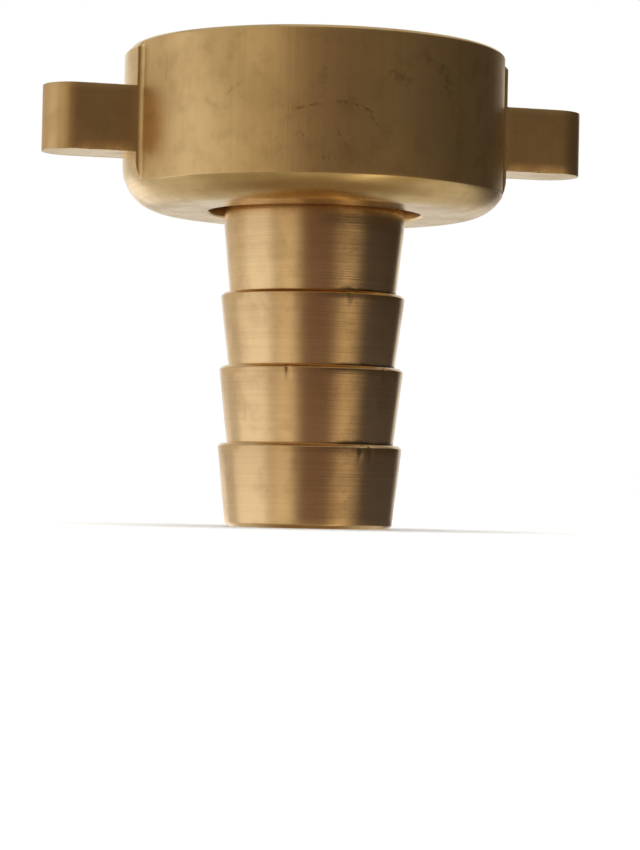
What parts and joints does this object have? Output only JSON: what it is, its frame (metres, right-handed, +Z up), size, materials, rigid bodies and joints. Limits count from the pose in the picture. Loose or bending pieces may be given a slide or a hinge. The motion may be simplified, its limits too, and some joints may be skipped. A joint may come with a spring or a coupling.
{
  "type": "swivel hose barb tail",
  "caption": "Brass swivel hose tail: a barbed push-on tail with a through bore, held in a loose winged union nut with an internal pipe thread.",
  "frame": {"origin": "centre of the free end of the barbed tail, on the common axis", "axes": "+Z up the common axis from the tail's free end to the nut's threaded mouth, +X along the nut's wings"},
  "size_m": [0.044, 0.0298, 0.0377],
  "materials": {
    "turned_brass": "turned, semi-bright, with fine tool rings",
    "tumbled_brass": "satin, tumbled and lightly tarnished",
    "black_rubber": "moulded, matt"
  },
  "bodies": {
    "tail": {"hose_tail": "turned_brass"},
    "nut": {"swivel_nut": "tumbled_brass", "sealing_washer": "black_rubber"}
  },
  "joints": [
    {"name": "nut_swivel", "type": "hinge", "parent": "tail", "child": "nut", "pos_m": [0, 0, 0.0313], "axis": [0, 0, 1], "continuous": true}
  ]
}
